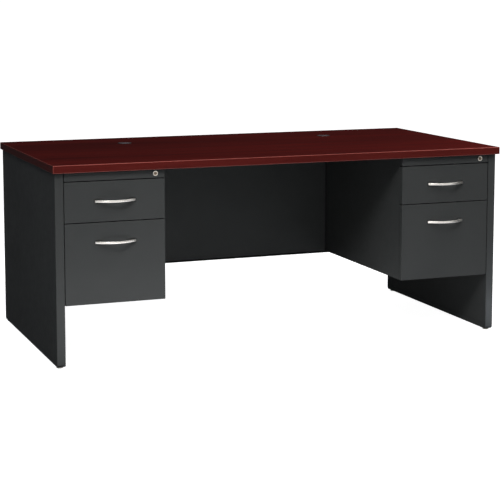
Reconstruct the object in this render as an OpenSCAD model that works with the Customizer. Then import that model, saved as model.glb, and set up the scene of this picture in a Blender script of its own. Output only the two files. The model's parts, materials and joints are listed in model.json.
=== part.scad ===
// Double-pedestal steel teacher desk with a laminate work surface.
// Millimetres, +Z up. The origin is on the floor at the centre of the overall footprint, pulls included.
// The user sits on the -Y side, where the drawers open; +X is to the user's right.

/* [Work surface] */
// Width of the work surface
top_w = 1828.8; // [1676:0.1:1981]
// Depth of the work surface
top_d = 914.4; // [889:0.1:965]
// Thickness of the work surface
top_t = 28.6; // [25:0.1:38]
// Height of the writing plane above the floor, with the glides screwed right in
desk_h = 749.3; // [725:0.1:775]
// Thickness of the strip that finishes each edge of the board
band_t = 2; // [1:0.5:3]
// Thickness of the decorative laminate on top of the board
laminate_t = 1; // [0.8:0.1:1.5]
// Thickness of the balancing sheet under the board
backer_t = 0.8; // [0.6:0.1:1.5]

/* [Cable grommets] */
// Distance of each grommet from the desk's centre line
grommet_x = 445; // [380:1:450]
// Distance of the grommets from the rear edge of the work surface
grommet_rear_in = 228; // [180:1:260]
// Diameter of the hole that a grommet drops into
grommet_hole_d = 50.8; // [46:0.1:56]
// Diameter of the grommet's flange
grommet_flange_d = 57; // [57:0.5:66]

/* [End panels] */
// Thickness of a box-formed end panel
end_t = 31.75; // [30:0.05:38]
// Overhang of the work surface past the outside of an end panel
end_side_in = 9.5; // [3:0.5:25]
// Overhang of the work surface in front of an end panel
end_front_in = 18; // [12:0.5:24]
// Overhang of the work surface behind an end panel
end_rear_in = 3; // [0:0.5:20]
// Radius of an end panel's two lower corners, seen from the side
end_corner_r = 10; // [4:1:20]
// Clear height under an end panel, where its glides show
end_clear = 6; // [6:0.5:12]
// Sheet thickness of the outer panels
panel_gauge = 1.2; // [1:0.1:1.4]

/* [Modesty panel] */
// Distance from the front edge of the work surface to the kneehole face of the modesty panel
modesty_front_in = 752; // [745:1:775]
// Thickness of the modesty panel
modesty_t = 19; // [15:1:25]
// Height of the modesty panel's lower edge above the floor
modesty_z = 225; // [200:1:240]
// Gap left under the sheet on the modesty panel's kneehole side
liner_gap = 9; // [2:1:20]

/* [Pedestals] */
// Width of a pedestal case
case_w = 384; // [380:1:390]
// Height of a pedestal, from its lower edge to the underside of the work surface
case_h = 488.7; // [485:0.1:495]
// Sheet thickness of cases, trays and inner skins
case_gauge = 1; // [0.8:0.1:1]
// Gap between neighbouring fronts, and between a front and the end panel
reveal = 3; // [2:0.5:4]
// Height of the rail above the drawers, which carries the lock
rail_h = 32.7; // [30:0.1:36]
// Thickness of the rail and of the drawer fronts
front_t = 20; // [18:0.5:22]

/* [Drawers] */
// Height of the upper, box drawer's front
box_front_h = 149; // [140:1:155]
// Height of the box drawer's tray
box_tray_h = 110; // [100:1:112]
// Height of the file drawer's tray
file_tray_h = 250; // [240:1:252]
// Depth of both trays, front to back
tray_d = 673; // [668:1:680]

/* [Pulls] */
// Overall length of a bow pull
pull_len = 155; // [150:1:170]
// How far a pull stands out of the drawer front
pull_reach = 32; // [28:1:40]
// Height of a pull's bar
pull_h = 10.5; // [8:0.5:14]
// Thickness of a pull's bar at the middle
pull_t = 7; // [5:0.5:9]
// Width of the foot at each end of a pull
pull_foot = 20.5; // [18:0.5:26]
// Distance between a pull's two screws
pull_pitch = 128; // [126:1:130]
// Distance from a front's upper edge down to the pull
pull_drop = 73; // [60:1:80]

/* [Locks] */
// Distance from the right end of a rail to the lock's axis
lock_in = 36; // [34:1:40]
// Diameter of the lock's bezel
lock_bezel_d = 19.5; // [18:0.5:24]
// Radius at which the crank's pin lifts the locking bar
crank_r = 8.5; // [7:0.5:9]

/* [Glides] */
// Diameter of a glide's foot
glide_d = 25; // [20:1:28]
// Diameter of a glide's threaded stem
glide_stem_d = 9.52; // [8:0.01:10]
// Distance from an end panel's front or rear edge to a glide
glide_in = 26; // [22:1:60]
// Length of a glide's threaded stem
glide_stem_l = 45; // [30:1:60]

/* [Hidden] */

$fn = 48;
eps = 1;            // how far a cutting shape runs past the face that it opens
slip = 0.08;        // radial clearance of a turning fit
slack = 0.2;        // radial clearance of a hole round a screw or bolt
LEFT = -1;
RIGHT = 1;

// colours
mahogany = [0.28, 0.07, 0.07];
board = [0.62, 0.49, 0.34];
charcoal = [0.26, 0.27, 0.28];
dark_steel = [0.20, 0.21, 0.22];
nickel = [0.80, 0.79, 0.76];
zinc = [0.66, 0.67, 0.68];
black = [0.08, 0.08, 0.09];

// places along Y: the pulls stand in front of the work surface, and the origin halves the whole depth
pull_lead = pull_reach - end_front_in;
top_y0 = (pull_lead - top_d) / 2;
top_y1 = top_y0 + top_d;
face_y = top_y0 + end_front_in;
case_y0 = face_y + front_t;
case_y1 = top_y0 + modesty_front_in;
end_y1 = top_y1 - end_rear_in;

// places along X
end_out = top_w / 2 - end_side_in;
end_in = end_out - end_t;
ped_x = end_in - case_w / 2;
front_w = case_w - reveal;
front_x = ped_x - reveal / 2;

// places along Z
top_z0 = desk_h - top_t;
case_z0 = top_z0 - case_h;
rail_z0 = top_z0 - rail_h;
box_z0 = rail_z0 - reveal - box_front_h;
file_front_h = box_z0 - reveal - case_z0;

// drawer slides: a telescope 12.7 thick between the tray and the case
slide_t = 12.7;
slide_l = 660;
slide_gauge = 1.2;
slide_h = 45;
carrier_h = 33;
runner_h = 21;
tray_w = case_w - 2 * case_gauge - 2 * slide_t;
tray_y1 = case_y0 + tray_d;
hem = 8;            // width of the folded rim round a tray
box_tray_z = box_z0 + 10;
file_tray_z = case_z0 + 14;
box_slide_z = box_tray_z + 35;
file_slide_z = file_tray_z + 94;

// locks
lock_z = rail_z0 + rail_h / 2;
barrel_r = 8;
barrel_l = 25;
plug_r = 6;
rod_r = 3;
bar_t = 2;
bar_w = 26;
bar_y = case_y1 - case_gauge - 10;
bar_lift = 2 * crank_r * sin(45);
pin_r = 2;
pin_x = crank_r * (1 + cos(45)) / 2;
bar_slot_z = lock_z - crank_r * sin(45);
stud_zs = [lock_z - 44, lock_z - 184];
box_catch_z = box_tray_z + box_tray_h - 16;
file_catch_z = file_tray_z + file_tray_h - 16;
catch_w = 26;
catch_d = 20;
tongue_w = 10;
tongue_t = 3;
tongue_drop = 15;
crank_t = 3;
rod_off = 8;        // from the locking bar forward to the crank

// fasteners
wood_screw_r = 2.1;
wood_screw_bite = 15;
screw_head_h = 2.6;
screw_inset = 11;
bolt_r = 3;
bolt_l = 14;
bolt_head_h = 3;
nut_h = 5;
pull_screw_r = 2;
pull_screw_bite = 7.5;
case_screw_ys = [case_y0 + 60, (case_y0 + case_y1) / 2, case_y1 - 60];
end_screw_ys = [face_y + 90, (face_y + end_y1) / 2, end_y1 - 90];
case_bolt_ys = [case_y0 + 110, case_y1 - 110];
case_bolt_zs = [case_z0 + 218, rail_z0 - 38];
modesty_bolt_zs = [modesty_z + 60, top_z0 - 60];
stiffener_ys = [top_y0 + 250, top_y0 + 560];
stiffener_w = 40;
stiffener_h = 25;
end_stiffener_ys = [face_y + 260, end_y1 - 350];
end_stiffener_w = 60;
liner_return = 6;
glide_nut_h = 11;

function lock_x(side) = side * front_x + front_w / 2 - lock_in;
function bar_x(side) = lock_x(side) + pin_x;
function bow_r(half, reach) = (half * half + reach * reach) / (2 * reach);

// ---------- shared shapes ----------

// A straight block between two opposite corners
module block(lo, hi) {
    translate(lo) cube(hi - lo);
}

// A rod along +Y from p
module rod_y(p, r, l) {
    translate(p) rotate([-90, 0, 0]) cylinder(h = l, r = r);
}

// A rod along X, centred on p
module rod_x(p, r, l) {
    translate(p) rotate([0, 90, 0]) cylinder(h = l, r = r, center = true);
}

// A folded pan: face towards -Y at y = 0, sides d deep, and a lip turned in round its open back
module pan(w, d, h, gauge, lip) {
    difference() {
        block([-w / 2, 0, 0], [w / 2, d, h]);
        block([-w / 2 + gauge, gauge, gauge], [w / 2 - gauge, d - gauge, h - gauge]);
        block([-w / 2 + lip, d / 2, lip], [w / 2 - lip, d + eps, h - lip]);
    }
}

// Side view of an end panel, drawn in (y, z), shrunk by inset all round
module end_outline(inset) {
    r = end_corner_r - inset;
    y0 = face_y + inset;
    y1 = end_y1 - inset;
    z0 = end_clear + inset;
    z1 = top_z0 - inset;
    translate([y0, z0 + r]) square([y1 - y0, z1 - z0 - r]);
    translate([y0 + r, z0]) square([y1 - y0 - 2 * r, r + eps]);
    for (y = [y0 + r, y1 - r]) translate([y, z0 + r]) circle(r = r);
}

// Extrudes a (y, z) drawing along +X from x0
module along_x(x0, l) {
    translate([x0, 0, 0]) rotate([90, 0, 90]) linear_extrude(height = l) children();
}

// Puts children on the left or right half of the desk, drawn for the right and mirrored for the left
module on_side(side) {
    scale_x = side == RIGHT ? 0 : 1;
    mirror([scale_x, 0, 0]) children();
}

// ---------- work surface ----------

module grommet_holes(r) {
    for (side = [LEFT, RIGHT])
        translate([side * grommet_x, top_y1 - grommet_rear_in, top_z0 - eps])
            cylinder(h = top_t + 2 * eps, r = r);
}

// One layer of the top, inside the edge strips, with a hole of radius r for each grommet
module top_layer(z0, z1, r) {
    difference() {
        block([-top_w / 2 + band_t, top_y0 + band_t, z0], [top_w / 2 - band_t, top_y1 - band_t, z1]);
        grommet_holes(r);
    }
}

module worksurface_core() {
    color(board) top_layer(top_z0 + backer_t, desk_h - laminate_t, grommet_hole_d / 2);
}

module worksurface_laminate() {
    color(mahogany) top_layer(desk_h - laminate_t, desk_h, grommet_flange_d / 2 + 0.1);
}

module worksurface_backer() {
    color(dark_steel) top_layer(top_z0, top_z0 + backer_t, grommet_hole_d / 2);
}

// Section of an edge strip: outer face at 0, inner face at band_t, with both outer arrises broken
module band_section() {
    arris = 0.8;
    polygon([
        [arris, 0], [band_t, 0], [band_t, top_t], [arris, top_t], [0, top_t - arris], [0, arris]
    ]);
}

module edge_bands() {
    side_l = top_d - 2 * band_t;
    color(mahogany) {
        translate([-top_w / 2, top_y0, top_z0])
            rotate([90, 0, 90]) linear_extrude(height = top_w) band_section();
        translate([top_w / 2, top_y1, top_z0])
            rotate([90, 0, -90]) linear_extrude(height = top_w) band_section();
        translate([-top_w / 2, top_y1 - band_t, top_z0])
            rotate([90, 0, 0]) linear_extrude(height = side_l) band_section();
        translate([top_w / 2, top_y0 + band_t, top_z0])
            rotate([90, 0, 180]) linear_extrude(height = side_l) band_section();
    }
}

// Cable grommet: a sleeve whose flange sits on the board in a cut-out of the laminate, with an inner
// ledge, and a notched cap that turns on the ledge
sleeve_wall = 1.8;
sleeve_l = 24;
flange_h = 1.5;
ledge_w = 1.9;
ledge_z = -2.2;
ledge_t = 1.4;
sleeve_r = grommet_hole_d / 2 - 0.2;
cap_r = sleeve_r - sleeve_wall - slip;

module grommet_sleeves() {
    color(black)
        for (side = [LEFT, RIGHT])
            translate([side * grommet_x, top_y1 - grommet_rear_in, desk_h])
                rotate_extrude()
                    polygon([
                        [sleeve_r - sleeve_wall, -sleeve_l], [sleeve_r, -sleeve_l], [sleeve_r, -laminate_t],
                        [grommet_flange_d / 2, -laminate_t], [grommet_flange_d / 2, flange_h / 3],
                        [grommet_flange_d / 2 - 1, flange_h], [sleeve_r - sleeve_wall, flange_h],
                        [sleeve_r - sleeve_wall, ledge_z],
                        [sleeve_r - sleeve_wall - ledge_w, ledge_z],
                        [sleeve_r - sleeve_wall - ledge_w, ledge_z - ledge_t],
                        [sleeve_r - sleeve_wall, ledge_z - ledge_t]
                    ]);
}

module grommet_cap(side) {
    notch_w = 14;
    notch_d = 10;
    cap_t = flange_h - ledge_z - 0.3;
    dimple_r = 5;
    color(black)
        translate([side * grommet_x, top_y1 - grommet_rear_in, desk_h + ledge_z])
            difference() {
                cylinder(h = cap_t, r = cap_r);
                block([-notch_w / 2, cap_r - notch_d, -eps], [notch_w / 2, cap_r + eps, cap_t + eps]);
                translate([0, -cap_r / 2, cap_t - 0.8]) cylinder(h = 3, r = dimple_r);
            }
}

module left_grommet_cap() { grommet_cap(LEFT); }
module right_grommet_cap() { grommet_cap(RIGHT); }

// Channels that stiffen the board across the kneehole
module top_stiffeners() {
    span = 2 * (ped_x - case_w / 2) - 2;
    color(dark_steel)
        for (y = stiffener_ys)
            difference() {
                block([-span / 2, y, top_z0 - stiffener_h], [span / 2, y + stiffener_w, top_z0]);
                block([-span / 2 - eps, y + panel_gauge, top_z0 - stiffener_h - eps],
                      [span / 2 + eps, y + stiffener_w - panel_gauge, top_z0 - panel_gauge]);
                for (x = [-span / 3, 0, span / 3])
                    translate([x, y + stiffener_w / 2, top_z0 - 5])
                        cylinder(h = 10, r = wood_screw_r + slack);
            }
}

// A pan-head wood screw driven up into the board; its head bears on a sheet of the given gauge
module wood_screw(x, y, gauge) {
    translate([x, y, top_z0 - gauge]) {
        cylinder(h = wood_screw_bite + gauge, r = wood_screw_r);
        translate([0, 0, -screw_head_h]) cylinder(h = screw_head_h, r1 = 3.2, r2 = 2 * wood_screw_r);
    }
}

module top_screws() {
    color(zinc) {
        for (side = [LEFT, RIGHT]) {
            for (y = case_screw_ys, dx = [-1, 1])
                wood_screw(side * ped_x + dx * (case_w / 2 - screw_inset), y, case_gauge);
            for (y = end_screw_ys)
                wood_screw(side * (end_in + end_t / 2), y, panel_gauge);
        }
        for (y = stiffener_ys, x = [-1, 0, 1])
            wood_screw(x * 2 * (ped_x - case_w / 2 - 1) / 3, y + stiffener_w / 2, panel_gauge);
    }
}

// ---------- end panels and glides ----------

module end_panel(side) {
    color(charcoal)
        on_side(side)
            difference() {
                along_x(end_in, end_t) end_outline(0);
                along_x(end_in - eps, end_t - panel_gauge + eps) end_outline(panel_gauge);
                for (y = end_screw_ys)
                    translate([end_in + end_t / 2, y, top_z0 - 5])
                        cylinder(h = 10, r = wood_screw_r + slack);
                for (y = [face_y + glide_in, end_y1 - glide_in])
                    translate([end_in + end_t / 2, y, end_clear - eps])
                        cylinder(h = 5, r = glide_stem_d / 2 + 0.5);
            }
}

module left_end_panel() { end_panel(LEFT); }
module right_end_panel() { end_panel(RIGHT); }

// Inner skins that close the end panels on their pedestal side
module end_panel_liners() {
    color(charcoal)
        for (side = [LEFT, RIGHT])
            on_side(side)
                difference() {
                    along_x(end_in, liner_return) end_outline(panel_gauge);
                    along_x(end_in + case_gauge, liner_return) end_outline(panel_gauge + case_gauge);
                    panel_bolt_holes();
                }
}

// Clearance holes for the bolts that join a pedestal and the modesty panel to the right end panel
module panel_bolt_holes() {
    for (y = case_bolt_ys, z = case_bolt_zs) rod_x([end_in, y, z], bolt_r + slack, 20);
    for (z = modesty_bolt_zs) rod_x([end_in, case_y1 + modesty_t / 2, z], bolt_r + slack, 20);
}

// Upright hat sections inside the end panels
module end_panel_stiffeners() {
    depth = end_t - panel_gauge - case_gauge;
    w = end_stiffener_w;
    color(dark_steel)
        for (side = [LEFT, RIGHT], y = end_stiffener_ys)
            on_side(side)
                translate([end_in + case_gauge, y, end_clear + 60])
                    linear_extrude(height = top_z0 - end_clear - 120)
                        polygon([
                            [depth, -w / 2], [depth, -w / 4], [1.2, -w / 4], [1.2, w / 4],
                            [depth, w / 4], [depth, w / 2], [depth - 1.2, w / 2],
                            [depth - 1.2, w / 4 + 1.2], [0, w / 4 + 1.2], [0, -w / 4 - 1.2],
                            [depth - 1.2, -w / 4 - 1.2], [depth - 1.2, -w / 2]
                        ]);
}

// Hexagonal weld nuts on the inside of each end panel's lower edge
module glide_nuts() {
    color(zinc)
        for (side = [LEFT, RIGHT], y = [face_y + glide_in, end_y1 - glide_in])
            translate([side * (end_in + end_t / 2), y, end_clear + panel_gauge])
                difference() {
                    cylinder(h = glide_nut_h, r = 9, $fn = 6);
                    translate([0, 0, -eps]) cylinder(h = glide_nut_h + 2 * eps, r = glide_stem_d / 2 + slip);
                }
}

// Levelling glide: a domed foot on a threaded stem
module glide(side, y) {
    r = glide_d / 2;
    color(nickel)
        translate([side * (end_in + end_t / 2), y, 0]) {
            rotate_extrude()
                polygon([
                    [0, 0], [r - 1, 0], [r, 1], [r, 2.6], [r - 1.2, 3.8], [8, 5.2], [0, 5.2]
                ]);
            translate([0, 0, 5]) cylinder(h = glide_stem_l, r = glide_stem_d / 2);
        }
}

module left_front_glide() { glide(LEFT, face_y + glide_in); }
module left_rear_glide() { glide(LEFT, end_y1 - glide_in); }
module right_front_glide() { glide(RIGHT, face_y + glide_in); }
module right_rear_glide() { glide(RIGHT, end_y1 - glide_in); }

// ---------- modesty panel ----------

// Visitor-side pan, open towards the kneehole
module modesty_panel() {
    color(charcoal)
        difference() {
            block([-end_in, case_y1 + case_gauge, modesty_z], [end_in, case_y1 + modesty_t, top_z0]);
            block([-end_in + panel_gauge, case_y1, modesty_z + panel_gauge],
                  [end_in - panel_gauge, case_y1 + modesty_t - panel_gauge, top_z0 - panel_gauge]);
            for (z = modesty_bolt_zs)
                rod_x([0, case_y1 + modesty_t / 2, z], bolt_r + slack, 2 * end_in + eps);
        }
}

// Kneehole-side sheet with short returns top and bottom; it stops short of the pan's lower edge
module modesty_liner() {
    g = case_gauge;
    x1 = end_in - panel_gauge - 0.3;
    z0 = modesty_z + liner_gap;
    z1 = top_z0 - panel_gauge - 0.3;
    color(charcoal) {
        block([-end_in, case_y1, z0], [end_in, case_y1 + g, top_z0]);
        block([-x1, case_y1, z0], [x1, case_y1 + 10, z0 + g]);
        block([-x1, case_y1, z1 - g], [x1, case_y1 + 10, z1]);
    }
}

// ---------- assembly bolts ----------

// Button-head bolt along +X with its nut; the head's seat is at x = 0 and g is the joint's thickness
module bolt_and_nut(g) {
    rotate([0, 90, 0]) {
        translate([0, 0, -bolt_head_h]) cylinder(h = bolt_head_h, r = 5.5);
        cylinder(h = bolt_l, r = bolt_r);
        translate([0, 0, g])
            difference() {
                cylinder(h = nut_h, r = 5.8, $fn = 6);
                translate([0, 0, -eps]) cylinder(h = nut_h + 2 * eps, r = bolt_r + slip);
            }
    }
}

module assembly_bolts() {
    color(zinc)
        for (side = [LEFT, RIGHT])
            on_side(side) {
                for (y = case_bolt_ys, z = case_bolt_zs)
                    translate([end_in - case_gauge, y, z]) bolt_and_nut(2 * case_gauge);
                for (z = modesty_bolt_zs)
                    translate([end_in - panel_gauge, case_y1 + modesty_t / 2, z])
                        bolt_and_nut(panel_gauge + case_gauge);
            }
}

// ---------- pedestal cases ----------

// Five-sided case, open in front, with flanges under the board and the locking bar's two studs
module pedestal_case(side) {
    g = case_gauge;
    w = case_w / 2;
    flange = 20;
    back = case_y1 - g;
    color(charcoal) {
        translate([side * ped_x, 0, 0])
            difference() {
                block([-w, case_y0, case_z0], [w, case_y1, top_z0]);
                block([-w + g, case_y0 - eps, case_z0 + g], [w - g, back, top_z0 - g]);
                block([-w + flange, case_y0 - eps, top_z0 - 2 * g], [w - flange, back - flange, top_z0 + eps]);
                for (y = case_screw_ys, dx = [-1, 1])
                    translate([dx * (w - screw_inset), y, top_z0 - 5])
                        cylinder(h = 10, r = wood_screw_r + slack);
                for (y = case_bolt_ys, z = case_bolt_zs) rod_x([side * w, y, z], bolt_r + slack, 20);
            }
        for (z = stud_zs) {
            rod_y([bar_x(side), bar_y - 1, z], 3, back - bar_y + 1);
            rod_y([bar_x(side), bar_y - 3, z], 6, 2);
        }
        rod_bearing(side);
    }
}

// Drilled bracket at the back of the case that carries the lock rod
module rod_bearing(side) {
    x = lock_x(side);
    wall = side * ped_x + case_w / 2 - case_gauge;
    y = bar_y - 13;
    difference() {
        block([x - 9, y, lock_z - 11], [wall, y + 2, top_z0 - case_gauge]);
        rod_y([x, y - eps, lock_z], rod_r + slip, 4);
    }
}

module left_pedestal_case() { pedestal_case(LEFT); }
module right_pedestal_case() { pedestal_case(RIGHT); }

// Rail above the drawers of each pedestal, bored for its lock
module lock_rails() {
    color(charcoal)
        for (side = [LEFT, RIGHT])
            difference() {
                translate([side * front_x, face_y, rail_z0])
                    pan(front_w, front_t, rail_h, panel_gauge, 8);
                rod_y([lock_x(side), face_y - eps, lock_z], barrel_r + 0.1, 5);
            }
}

// ---------- locks ----------

// Fixed barrel with its bezel, held by a ring nut behind the rail's face
module lock_housings() {
    color(nickel)
        for (side = [LEFT, RIGHT])
            translate([lock_x(side), face_y, lock_z]) {
                difference() {
                    union() {
                        rod_y([0, -1.8, 0], lock_bezel_d / 2, 1.8);
                        rod_y([0, -0.5, 0], barrel_r, barrel_l + 0.5);
                    }
                    rod_y([0, -3, 0], plug_r + slip, barrel_l + 4);
                }
                difference() {
                    rod_y([0, panel_gauge, 0], 11, 3.5);
                    rod_y([0, 0, 0], barrel_r + 0.02, 6);
                }
            }
}

// Turning plug with its keyway
module lock_plug(side) {
    color(nickel)
        translate([lock_x(side), face_y, lock_z])
            difference() {
                rod_y([0, -1.6, 0], plug_r, barrel_l + 3.6);
                block([-0.9, -3, -3.6], [0.9, 9, 3.6]);
                block([0, -3, -0.6], [1.8, 9, 0.8]);
            }
}

module left_lock_plug() { lock_plug(LEFT); }
module right_lock_plug() { lock_plug(RIGHT); }

// Rod from the plug to the back of the case, with the crank whose pin lifts the locking bar
module lock_rod(side) {
    y0 = face_y + barrel_l + 2;
    crank_y = bar_y - rod_off;
    color(zinc)
        translate([lock_x(side), 0, lock_z]) {
            rod_y([0, y0, 0], rod_r, crank_y + crank_t - y0);
            rotate([0, 45, 0]) {
                block([-5, crank_y, -4.5], [crank_r + 4, crank_y + crank_t, 4.5]);
                rod_y([crank_r, crank_y, 0], pin_r, bar_y + bar_t + 2 - crank_y);
            }
        }
}

module left_lock_rod() { lock_rod(LEFT); }
module right_lock_rod() { lock_rod(RIGHT); }

// Upright bar behind the drawers; a tongue for each drawer rises through its catch when locked
module lock_bar(side) {
    z1 = bar_slot_z + 6;
    z0 = file_catch_z - 24;
    leg_y = tray_y1 + catch_d / 2;
    x = bar_x(side);
    color(zinc) {
        difference() {
            block([x - bar_w / 2, bar_y, z0], [x + bar_w / 2, bar_y + bar_t, z1]);
            block([x - 4, bar_y - eps, bar_slot_z - pin_r - 0.6],
                  [x + 4, bar_y + bar_t + eps, bar_slot_z + pin_r + 0.6]);
            for (z = stud_zs)
                block([x - 3.3, bar_y - eps, z - 3.3 - bar_lift],
                      [x + 3.3, bar_y + bar_t + eps, z + 3.3]);
        }
        for (z = [box_catch_z, file_catch_z]) {
            block([x - tongue_w / 2, leg_y - tongue_t / 2, z - tongue_drop],
                  [x + tongue_w / 2, bar_y + 0.5, z - tongue_drop + bar_t]);
            block([x - tongue_w / 2, leg_y - tongue_t / 2, z - tongue_drop],
                  [x + tongue_w / 2, leg_y + tongue_t / 2, z - 4]);
        }
    }
}

module left_lock_bar() { lock_bar(LEFT); }
module right_lock_bar() { lock_bar(RIGHT); }

// ---------- telescopic slides ----------

// Channel section in (x, z): web against x = 0, flanges reaching to x = w, over a height of h
module channel_section(w, h) {
    g = slide_gauge;
    polygon([
        [0, -h / 2], [w, -h / 2], [w, -h / 2 + g], [g, -h / 2 + g],
        [g, h / 2 - g], [w, h / 2 - g], [w, h / 2], [0, h / 2]
    ]);
}

// A pair of channels, one on each side of a pedestal; x is measured from the case wall inwards
module channel_pair(side, x, w, h, z, flip) {
    wall = case_w / 2 - case_gauge;
    for (hand = [LEFT, RIGHT])
        translate([side * ped_x + hand * (wall - x), case_y0 + 2, z])
            mirror([hand == RIGHT ? 1 : 0, 0, 0])
                mirror([flip ? 1 : 0, 0, 0])
                    rotate([-90, 0, 0])
                        linear_extrude(height = slide_l) channel_section(w, h);
}

// Members fixed to the case walls
module cabinet_slides() {
    color(zinc)
        for (side = [LEFT, RIGHT], z = [box_slide_z, file_slide_z])
            channel_pair(side, 0, 10, slide_h, z, false);
}

// Members fixed to a tray
module tray_slides(side, z) {
    color(zinc) channel_pair(side, slide_t, 8, runner_h, z, true);
}

// Intermediate members, with the strips that space their bearing balls
module carriers(side, z) {
    color(nickel) {
        channel_pair(side, 2.4, 8, carrier_h, z, false);
        for (hand = [LEFT, RIGHT], up = [-1, 1]) {
            ball_strip(side, hand, 6, z + up * (carrier_h + slide_h - 2 * slide_gauge) / 4, 40);
            ball_strip(side, hand, 7.5, z + up * (carrier_h + runner_h - 2 * slide_gauge) / 4, 200);
        }
    }
}

// A ball retainer: a flat strip with balls at an even pitch, y in from the slide's front end
module ball_strip(side, hand, x, z, y) {
    wall = case_w / 2 - case_gauge;
    count = 4;
    pitch = 40;
    translate([side * ped_x + hand * (wall - x), case_y0 + y, z]) {
        block([-1.4, 0, -0.6], [1.4, count * pitch, 0.6]);
        for (i = [0 : count - 1]) translate([0, (i + 0.5) * pitch, 0]) sphere(r = 2.1, $fn = 24);
    }
}

// ---------- drawers ----------

// Folded front with the two holes for its pull
module drawer_front(side, z0, h) {
    color(charcoal)
        translate([side * front_x, face_y, z0])
            difference() {
                pan(front_w, front_t, h, panel_gauge, 16);
                for (dx = [-1, 1])
                    rod_y([dx * pull_pitch / 2, -eps, h - pull_drop], pull_screw_r + slack, 5);
            }
}

// Open tray with a rim turned in round its top, and the slotted catch behind it
module tray(side, z0, h, catch_z) {
    g = case_gauge;
    w = tray_w / 2;
    x = bar_x(side);
    color(zinc) {
        translate([side * ped_x, 0, 0])
            difference() {
                block([-w, case_y0, z0], [w, tray_y1, z0 + h]);
                block([-w + g, case_y0 + g, z0 + g], [w - g, tray_y1 - g, z0 + h - g]);
                block([-w + hem, case_y0 + hem, z0 + h - 2 * g], [w - hem, tray_y1 - hem, z0 + h + eps]);
            }
        difference() {
            block([x - catch_w / 2, tray_y1 - 0.5, catch_z], [x + catch_w / 2, tray_y1 + catch_d, catch_z + 2]);
            block([x - tongue_w / 2 - 1.5, tray_y1 + catch_d / 2 - tongue_t / 2 - 2, catch_z - eps],
                  [x + tongue_w / 2 + 1.5, tray_y1 + catch_d / 2 + tongue_t / 2 + 2, catch_z + 3]);
        }
    }
}

// Bow pull: the sliver between two arcs, standing out of the front, with a blind hole in each foot
module pull(side, z) {
    outer_r = bow_r(pull_len / 2, pull_reach);
    inner_r = bow_r(pull_len / 2 - pull_foot, pull_reach - pull_t);
    color(nickel)
        translate([side * front_x, face_y, z])
            difference() {
                translate([0, 0, -pull_h / 2])
                    linear_extrude(height = pull_h)
                        difference() {
                            translate([0, outer_r - pull_reach]) circle(r = outer_r, $fn = 96);
                            translate([0, inner_r - pull_reach + pull_t]) circle(r = inner_r, $fn = 96);
                            translate([-pull_len, 0]) square([2 * pull_len, 3 * pull_len]);
                        }
                for (dx = [-1, 1])
                    rod_y([dx * pull_pitch / 2, -pull_screw_bite - 0.5, 0], pull_screw_r + 0.05, 9);
            }
}

// Machine screws that hold a pull from inside its front
module pull_screws(side, z) {
    color(zinc)
        for (dx = [-1, 1])
            translate([side * front_x + dx * pull_pitch / 2, face_y, z]) {
                rod_y([0, -pull_screw_bite, 0], pull_screw_r, pull_screw_bite + panel_gauge + 0.5);
                rod_y([0, panel_gauge, 0], 4, 2.4);
            }
}

// Moulded tray for pens at the front of a box drawer
module pencil_tray(side) {
    w = tray_w - 2 * case_gauge - 2;
    d = 96;
    h = 30;
    wall = 2;
    trough = (w - 4 * wall) / 3;
    color(black)
        translate([side * ped_x - w / 2, case_y0 + case_gauge + 1, box_tray_z + case_gauge])
            difference() {
                cube([w, d, h]);
                for (i = [0 : 2])
                    translate([wall + i * (trough + wall), wall, wall])
                        cube([trough, d - 2 * wall, h]);
            }
}

// Flat bars that hanging folders hook over, laid across the file tray's front and back rims
module file_rails(side) {
    color(zinc)
        for (dx = [-1, 1])
            translate([side * ped_x, 0, 0])
                block([dx * 159 - 1.5, case_y0 + 0.5, file_tray_z + file_tray_h],
                      [dx * 159 + 1.5, tray_y1 - 0.5, file_tray_z + file_tray_h + 14]);
}

module box_front(side) { drawer_front(side, box_z0, box_front_h); }
module file_front(side) { drawer_front(side, case_z0, file_front_h); }
module box_tray(side) { tray(side, box_tray_z, box_tray_h, box_catch_z); }
module file_tray(side) { tray(side, file_tray_z, file_tray_h, file_catch_z); }
box_pull_z = box_z0 + box_front_h - pull_drop;
file_pull_z = case_z0 + file_front_h - pull_drop;

module left_box_front() { box_front(LEFT); }
module left_box_tray() { box_tray(LEFT); }
module left_box_pull() { pull(LEFT, box_pull_z); }
module left_box_pull_screws() { pull_screws(LEFT, box_pull_z); }
module left_box_slides() { tray_slides(LEFT, box_slide_z); }
module left_box_carriers() { carriers(LEFT, box_slide_z); }
module left_pencil_tray() { pencil_tray(LEFT); }

module right_box_front() { box_front(RIGHT); }
module right_box_tray() { box_tray(RIGHT); }
module right_box_pull() { pull(RIGHT, box_pull_z); }
module right_box_pull_screws() { pull_screws(RIGHT, box_pull_z); }
module right_box_slides() { tray_slides(RIGHT, box_slide_z); }
module right_box_carriers() { carriers(RIGHT, box_slide_z); }
module right_pencil_tray() { pencil_tray(RIGHT); }

module left_file_front() { file_front(LEFT); }
module left_file_tray() { file_tray(LEFT); }
module left_file_pull() { pull(LEFT, file_pull_z); }
module left_file_pull_screws() { pull_screws(LEFT, file_pull_z); }
module left_file_slides() { tray_slides(LEFT, file_slide_z); }
module left_file_carriers() { carriers(LEFT, file_slide_z); }
module left_file_rails() { file_rails(LEFT); }

module right_file_front() { file_front(RIGHT); }
module right_file_tray() { file_tray(RIGHT); }
module right_file_pull() { pull(RIGHT, file_pull_z); }
module right_file_pull_screws() { pull_screws(RIGHT, file_pull_z); }
module right_file_slides() { tray_slides(RIGHT, file_slide_z); }
module right_file_carriers() { carriers(RIGHT, file_slide_z); }
module right_file_rails() { file_rails(RIGHT); }

// ---------- every node ----------

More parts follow.
